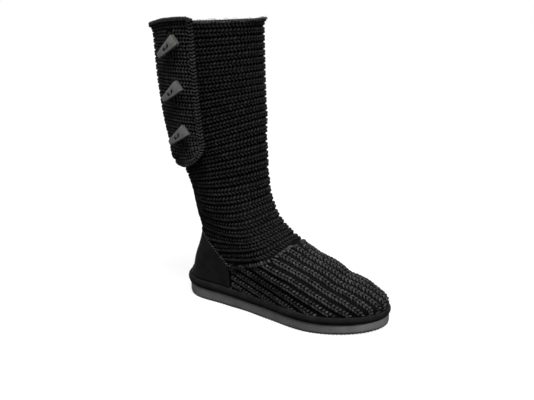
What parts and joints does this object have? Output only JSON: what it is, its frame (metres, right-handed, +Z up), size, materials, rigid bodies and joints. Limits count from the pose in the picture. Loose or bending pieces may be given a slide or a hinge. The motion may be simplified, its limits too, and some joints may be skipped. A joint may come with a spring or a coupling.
{
  "type": "sweater boot",
  "caption": "Tall ribbed knit boot for the right foot with a buttoned side flap, smooth heel counter, covered rim and flat sole.",
  "frame": {"origin": "on the floor, on the sole's flat heel, under the middle of the heel", "axes": "+X from heel to toe, +Y towards the inner side of the foot, +Z up the shaft"},
  "size_m": [0.2954, 0.12, 0.337],
  "materials": {
    "knit": "black ribbed yarn knit",
    "suede": "black napped suede",
    "sole_foam": "dark grey matte moulded foam",
    "fleece": "dark short pile lining",
    "toggle_horn": "dark grey horn-like",
    "thread": "dark waxed thread"
  },
  "bodies": {
    "root": {"outsole": "sole_foam", "rim_band": "suede", "upper": "knit", "shaft": "knit", "heel_counter": "suede", "insole": "fleece", "button_flap": "knit", "toggle_1": "toggle_horn", "toggle_2": "toggle_horn", "toggle_3": "toggle_horn", "toggle_thread_1": "thread", "toggle_thread_2": "thread", "toggle_thread_3": "thread"}
  },
  "joints": []
}
